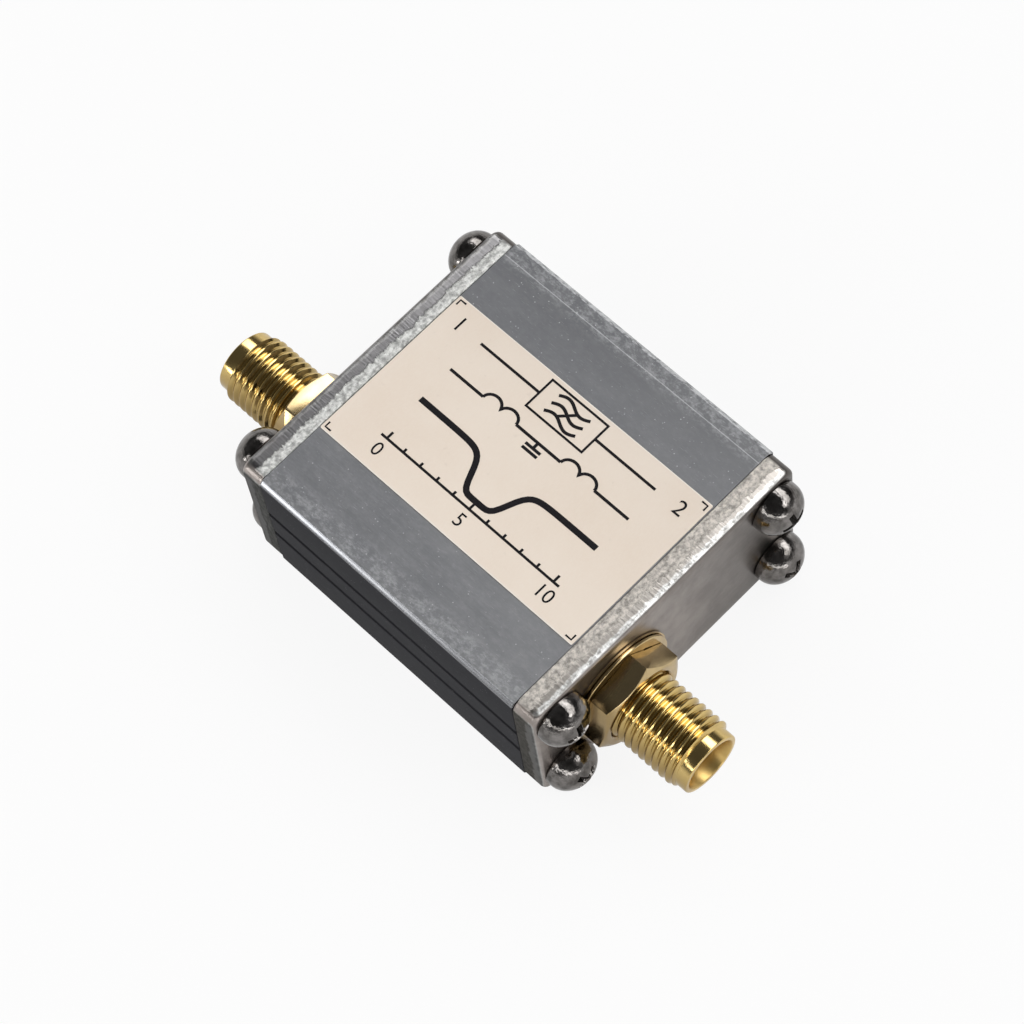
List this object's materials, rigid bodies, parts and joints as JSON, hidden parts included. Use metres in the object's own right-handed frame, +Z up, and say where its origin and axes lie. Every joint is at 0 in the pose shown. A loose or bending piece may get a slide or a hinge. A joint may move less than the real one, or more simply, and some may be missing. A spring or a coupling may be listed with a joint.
{
  "type": "rf notch filter",
  "caption": "Small extruded aluminium box with sheared end plates and a threaded gold coaxial jack at each end: an inline radio notch filter.",
  "frame": {"origin": "middle of the underside of the case", "axes": "+X from the input jack to the output jack, +Y across the case, +Z up, away from the underside"},
  "size_m": [0.0516, 0.0288, 0.0145],
  "materials": {
    "aluminium_case": "satin",
    "plate_metal": "satin",
    "screw_nickel": "polished",
    "gold_plate": "polished",
    "dielectric": "satin",
    "label_paper": "satin",
    "board_laminate": "satin",
    "coil_copper": "gloss",
    "capacitor_ceramic": "satin"
  },
  "bodies": {
    "root": {"housing": "aluminium_case", "input_end_plate": "plate_metal", "input_left_lower_screw": "screw_nickel", "input_left_upper_screw": "screw_nickel", "input_right_lower_screw": "screw_nickel", "input_right_upper_screw": "screw_nickel", "input_jack_shell": "gold_plate", "input_dielectric": "dielectric", "input_contact": "gold_plate", "input_lock_washer": "gold_plate", "input_nut": "gold_plate", "output_end_plate": "plate_metal", "output_left_lower_screw": "screw_nickel", "output_left_upper_screw": "screw_nickel", "output_right_lower_screw": "screw_nickel", "output_right_upper_screw": "screw_nickel", "output_jack_shell": "gold_plate", "output_dielectric": "dielectric", "output_contact": "gold_plate", "output_lock_washer": "gold_plate", "output_nut": "gold_plate", "label": "label_paper", "circuit_board": "board_laminate", "input_series_coil": "coil_copper", "middle_series_coil": "coil_copper", "output_series_coil": "coil_copper", "input_trap_coil": "coil_copper", "output_trap_coil": "coil_copper", "input_shunt_capacitor": "capacitor_ceramic", "input_trap_capacitor": "capacitor_ceramic", "middle_capacitor": "capacitor_ceramic", "output_trap_capacitor": "capacitor_ceramic", "output_shunt_capacitor": "capacitor_ceramic", "tuning_capacitor": "capacitor_ceramic"}
  },
  "joints": []
}
